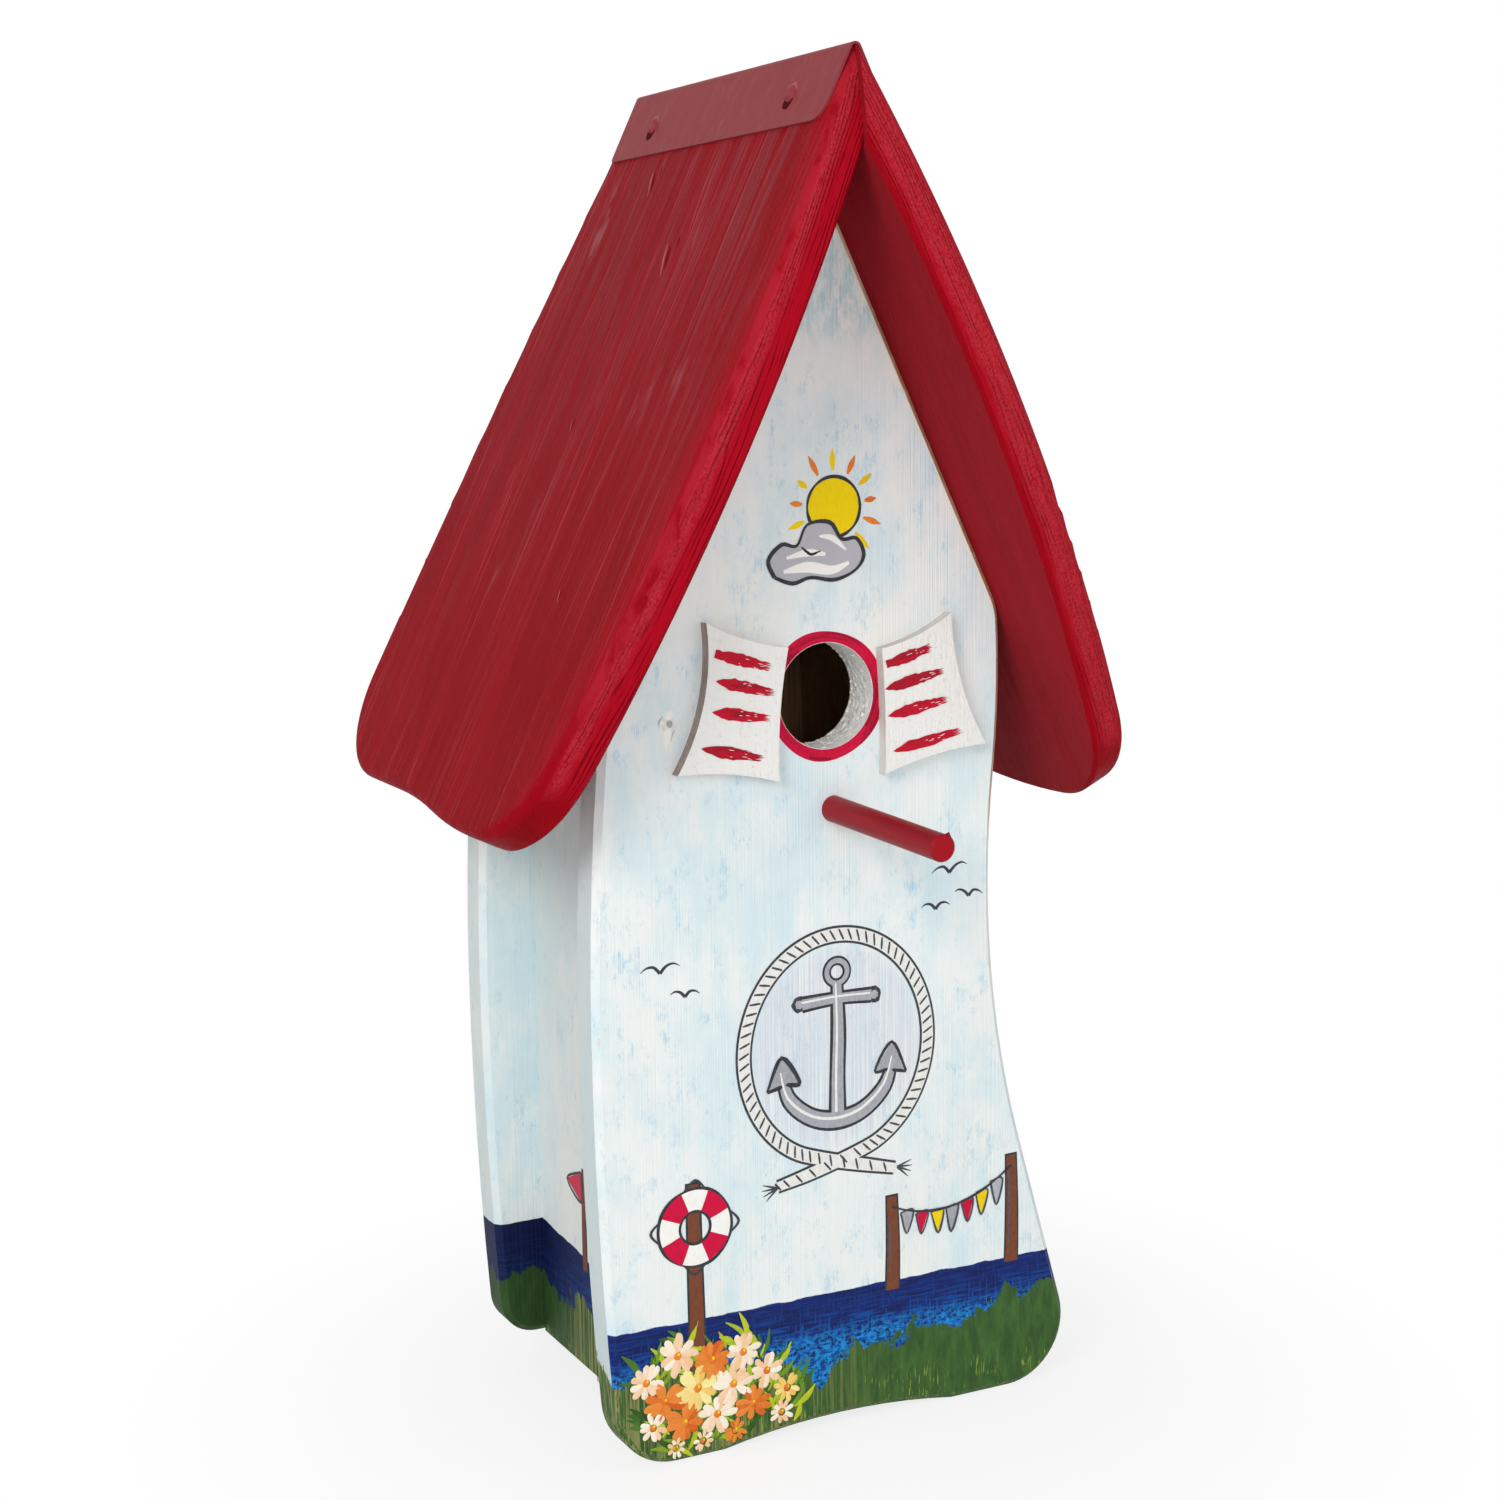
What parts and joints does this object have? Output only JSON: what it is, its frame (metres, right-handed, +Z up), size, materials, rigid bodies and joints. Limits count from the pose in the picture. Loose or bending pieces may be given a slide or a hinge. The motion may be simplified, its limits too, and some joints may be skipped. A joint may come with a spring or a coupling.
{
  "type": "birdhouse",
  "caption": "Tall narrow wooden nest box with crooked wavy panels, a steep overhanging roof with ridge cap, round entrance, perch, shutters and a drop-down floor.",
  "frame": {"origin": "centre of the entrance hole, on the front panel's front face", "axes": "+X to the right seen from the front, +Y from the front to the back, +Z up"},
  "size_m": [0.2102, 0.2069, 0.4156],
  "materials": {
    "panel_paint": "matte",
    "wall_paint": "matte",
    "roof_paint": "satin",
    "cap_paint": "satin",
    "cap_nail_paint": "satin",
    "shutter_paint": "matte",
    "perch_paint": "satin",
    "bare_wood": "matte",
    "plated_steel": "satin"
  },
  "bodies": {
    "house": {"front_panel": "panel_paint", "back_panel": "panel_paint", "left_side_wall": "wall_paint", "right_side_wall": "wall_paint", "left_roof_board": "roof_paint", "right_roof_board": "roof_paint", "ridge_cap": "cap_paint", "left_shutter": "shutter_paint", "right_shutter": "shutter_paint", "perch_dowel": "perch_paint", "turn_button_screw": "plated_steel", "front_panel_nails": "plated_steel", "back_panel_nails": "plated_steel", "left_roof_nails": "plated_steel", "right_roof_nails": "plated_steel", "left_ridge_cap_nails": "cap_nail_paint", "right_ridge_cap_nails": "cap_nail_paint"},
    "floor_hatch": {"floor_board": "bare_wood", "floor_pivot_nails": "plated_steel"},
    "turn_button": {"turn_button": "plated_steel"}
  },
  "joints": [
    {"name": "floor_hinge", "type": "hinge", "parent": "house", "child": "floor_hatch", "pos_m": [0, 0.0845, -0.213], "axis": [1, 0, 0], "range_deg": [0, 90]},
    {"name": "turn_button_pivot", "type": "hinge", "parent": "house", "child": "turn_button", "pos_m": [-0.0525, 0.035, -0.2208], "axis": [0, 0, -1], "range_deg": [0, 90]}
  ]
}
